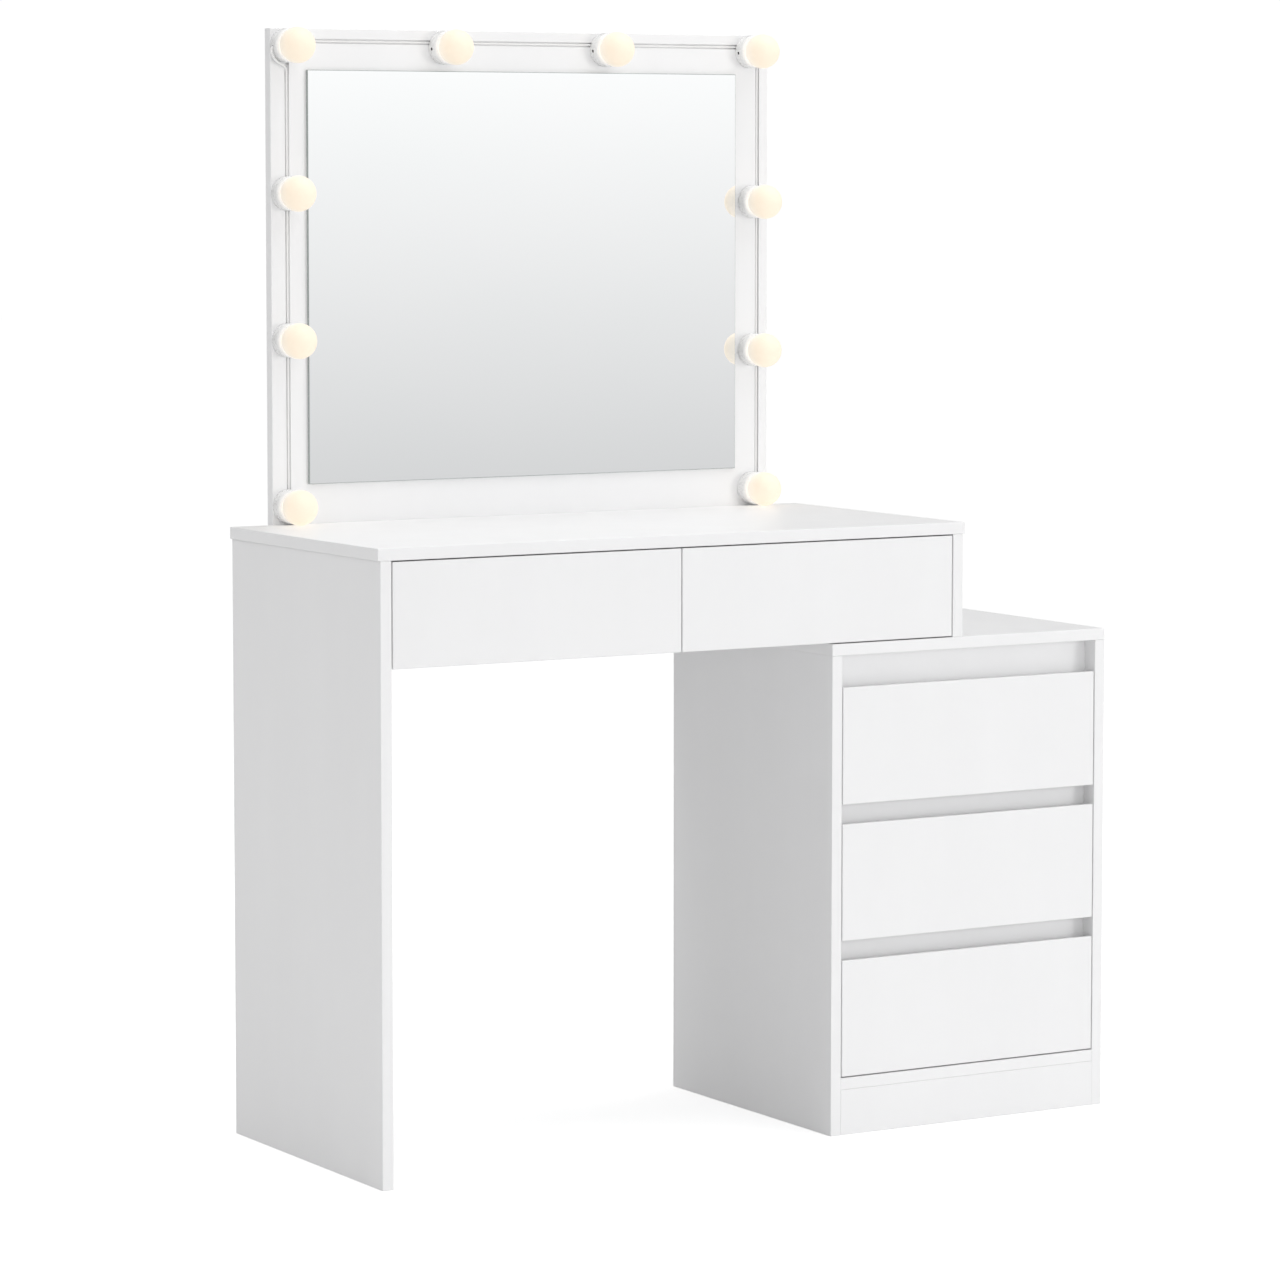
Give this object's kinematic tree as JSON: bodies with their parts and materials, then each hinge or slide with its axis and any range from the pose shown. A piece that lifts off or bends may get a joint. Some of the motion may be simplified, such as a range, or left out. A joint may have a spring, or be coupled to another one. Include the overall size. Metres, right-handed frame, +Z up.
{
  "type": "vanity table with mirror",
  "caption": "White vanity desk on a panel leg and a drawer cabinet, with shallow desk drawers, deep cabinet drawers with finger gaps, and an upright mirror board ringed with round bulbs.",
  "frame": {"origin": "on the floor, at the middle of the bounding box seen from above", "axes": "+Z up, +Y towards the back, +X to the right of a user who sits at the front; the drawers open towards -Y"},
  "size_m": [1.06, 0.415, 1.393],
  "materials": {
    "white_board": "white satin laminate on particle board",
    "drawer_board": "white matt laminate on thin board",
    "drawer_panel": "white coated hardboard",
    "back_panel": "white coated hardboard",
    "mirror": "silvered float glass with a polished edge",
    "bulb_base": "moulded white plastic",
    "bulb_globe": "frosted, lit warm white",
    "cable": "soft white sheath",
    "zinc_steel": "zinc plated",
    "beech": "bare beech"
  },
  "bodies": {
    "root": {"desk_top": "white_board", "left_leg_panel": "white_board", "desk_right_panel": "white_board", "desk_divider": "white_board", "desk_bottom_board": "white_board", "desk_back_rail": "white_board", "mirror_board": "white_board", "mirror_glass": "mirror", "bulb_bases": "bulb_base", "bulb_globes": "bulb_globe", "bulb_cable": "cable", "cabinet_top_board": "white_board", "cabinet_left_side": "white_board", "cabinet_right_side": "white_board", "cabinet_bottom_board": "white_board", "cabinet_plinth": "white_board", "cabinet_back_panel": "back_panel", "upper_finger_rail": "white_board", "middle_finger_rail": "white_board", "lower_finger_rail": "white_board", "case_runners": "zinc_steel", "cam_fittings": "zinc_steel", "dowels": "beech", "case_screws": "zinc_steel", "mirror_screws": "zinc_steel"},
    "desk_left_drawer": {"desk_left_drawer_front": "white_board", "desk_left_drawer_left_side": "drawer_board", "desk_left_drawer_right_side": "drawer_board", "desk_left_drawer_back": "drawer_board", "desk_left_drawer_bottom": "drawer_panel", "desk_left_drawer_runners": "zinc_steel", "desk_left_drawer_fixings": "zinc_steel"},
    "desk_right_drawer": {"desk_right_drawer_front": "white_board", "desk_right_drawer_left_side": "drawer_board", "desk_right_drawer_right_side": "drawer_board", "desk_right_drawer_back": "drawer_board", "desk_right_drawer_bottom": "drawer_panel", "desk_right_drawer_runners": "zinc_steel", "desk_right_drawer_fixings": "zinc_steel"},
    "cabinet_top_drawer": {"cabinet_top_drawer_front": "white_board", "cabinet_top_drawer_left_side": "drawer_board", "cabinet_top_drawer_right_side": "drawer_board", "cabinet_top_drawer_back": "drawer_board", "cabinet_top_drawer_bottom": "drawer_panel", "cabinet_top_drawer_runners": "zinc_steel", "cabinet_top_drawer_fixings": "zinc_steel"},
    "cabinet_middle_drawer": {"cabinet_middle_drawer_front": "white_board", "cabinet_middle_drawer_left_side": "drawer_board", "cabinet_middle_drawer_right_side": "drawer_board", "cabinet_middle_drawer_back": "drawer_board", "cabinet_middle_drawer_bottom": "drawer_panel", "cabinet_middle_drawer_runners": "zinc_steel", "cabinet_middle_drawer_fixings": "zinc_steel"},
    "cabinet_bottom_drawer": {"cabinet_bottom_drawer_front": "white_board", "cabinet_bottom_drawer_left_side": "drawer_board", "cabinet_bottom_drawer_right_side": "drawer_board", "cabinet_bottom_drawer_back": "drawer_board", "cabinet_bottom_drawer_bottom": "drawer_panel", "cabinet_bottom_drawer_runners": "zinc_steel", "cabinet_bottom_drawer_fixings": "zinc_steel"}
  },
  "joints": [
    {"name": "desk_left_drawer_slide", "type": "slide", "parent": "root", "child": "desk_left_drawer", "axis": [0, -1, 0], "range_m": [0, 0.26]},
    {"name": "desk_right_drawer_slide", "type": "slide", "parent": "root", "child": "desk_right_drawer", "axis": [0, -1, 0], "range_m": [0, 0.26]},
    {"name": "cabinet_top_drawer_slide", "type": "slide", "parent": "root", "child": "cabinet_top_drawer", "axis": [0, -1, 0], "range_m": [0, 0.26]},
    {"name": "cabinet_middle_drawer_slide", "type": "slide", "parent": "root", "child": "cabinet_middle_drawer", "axis": [0, -1, 0], "range_m": [0, 0.26]},
    {"name": "cabinet_bottom_drawer_slide", "type": "slide", "parent": "root", "child": "cabinet_bottom_drawer", "axis": [0, -1, 0], "range_m": [0, 0.26]}
  ]
}
